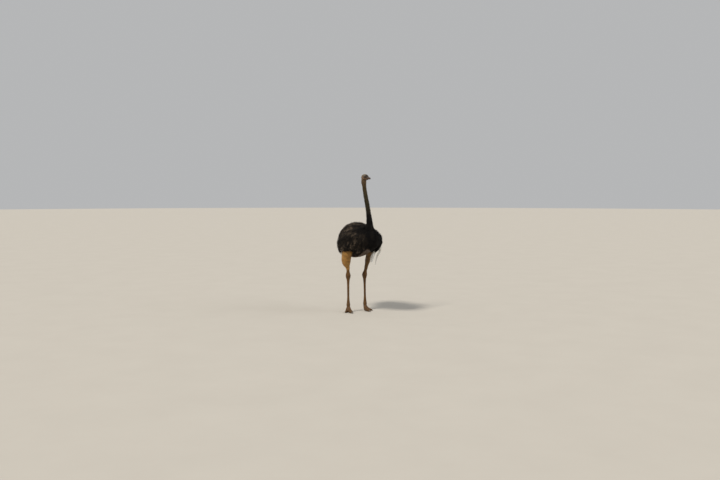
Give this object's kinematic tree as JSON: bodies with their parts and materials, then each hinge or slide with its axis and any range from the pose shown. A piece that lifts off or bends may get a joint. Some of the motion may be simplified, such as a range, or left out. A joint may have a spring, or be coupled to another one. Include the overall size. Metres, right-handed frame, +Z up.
{
  "type": "standing ostrich",
  "caption": "Male ostrich standing at rest: black-feathered body with white wing plumes, long thin neck turned slightly to its left, and long bare legs with toes flat on the floor.",
  "frame": {"origin": "on the floor, under the middle of the whole bird's box", "axes": "+Z up, the bird faces -Y, and its left side is +X"},
  "size_m": [0.7206, 1.2776, 2.3838],
  "materials": {
    "black_feather": "matte",
    "white_feather": "matte",
    "buff_feather": "matte",
    "neck_skin": "matte",
    "head_skin": "matte",
    "leg_skin": "satin",
    "shank_scale": "satin",
    "bill_horn": "satin",
    "claw_horn": "satin",
    "eye": "gloss"
  },
  "bodies": {
    "root": {"bill_lower": "bill_horn", "bill_upper": "bill_horn", "claw_big_left": "claw_horn", "claw_big_right": "claw_horn", "claw_small_left": "claw_horn", "claw_small_right": "claw_horn", "drumstick_left": "leg_skin", "drumstick_right": "leg_skin", "ear_left": "head_skin", "ear_right": "head_skin", "eye_left": "eye", "eye_right": "eye", "head": "head_skin", "hock_left": "shank_scale", "hock_right": "shank_scale", "neck_lower": "neck_skin", "neck_middle": "neck_skin", "neck_upper": "neck_skin", "shank_left": "shank_scale", "shank_right": "shank_scale", "tail": "buff_feather", "thigh_left": "leg_skin", "thigh_right": "leg_skin", "toe_big_left": "shank_scale", "toe_big_right": "shank_scale", "toe_small_left": "shank_scale", "toe_small_right": "shank_scale", "trunk": "black_feather", "wing_left": "black_feather", "wing_plumes_left": "white_feather", "wing_plumes_right": "white_feather", "wing_right": "black_feather"}
  },
  "joints": []
}
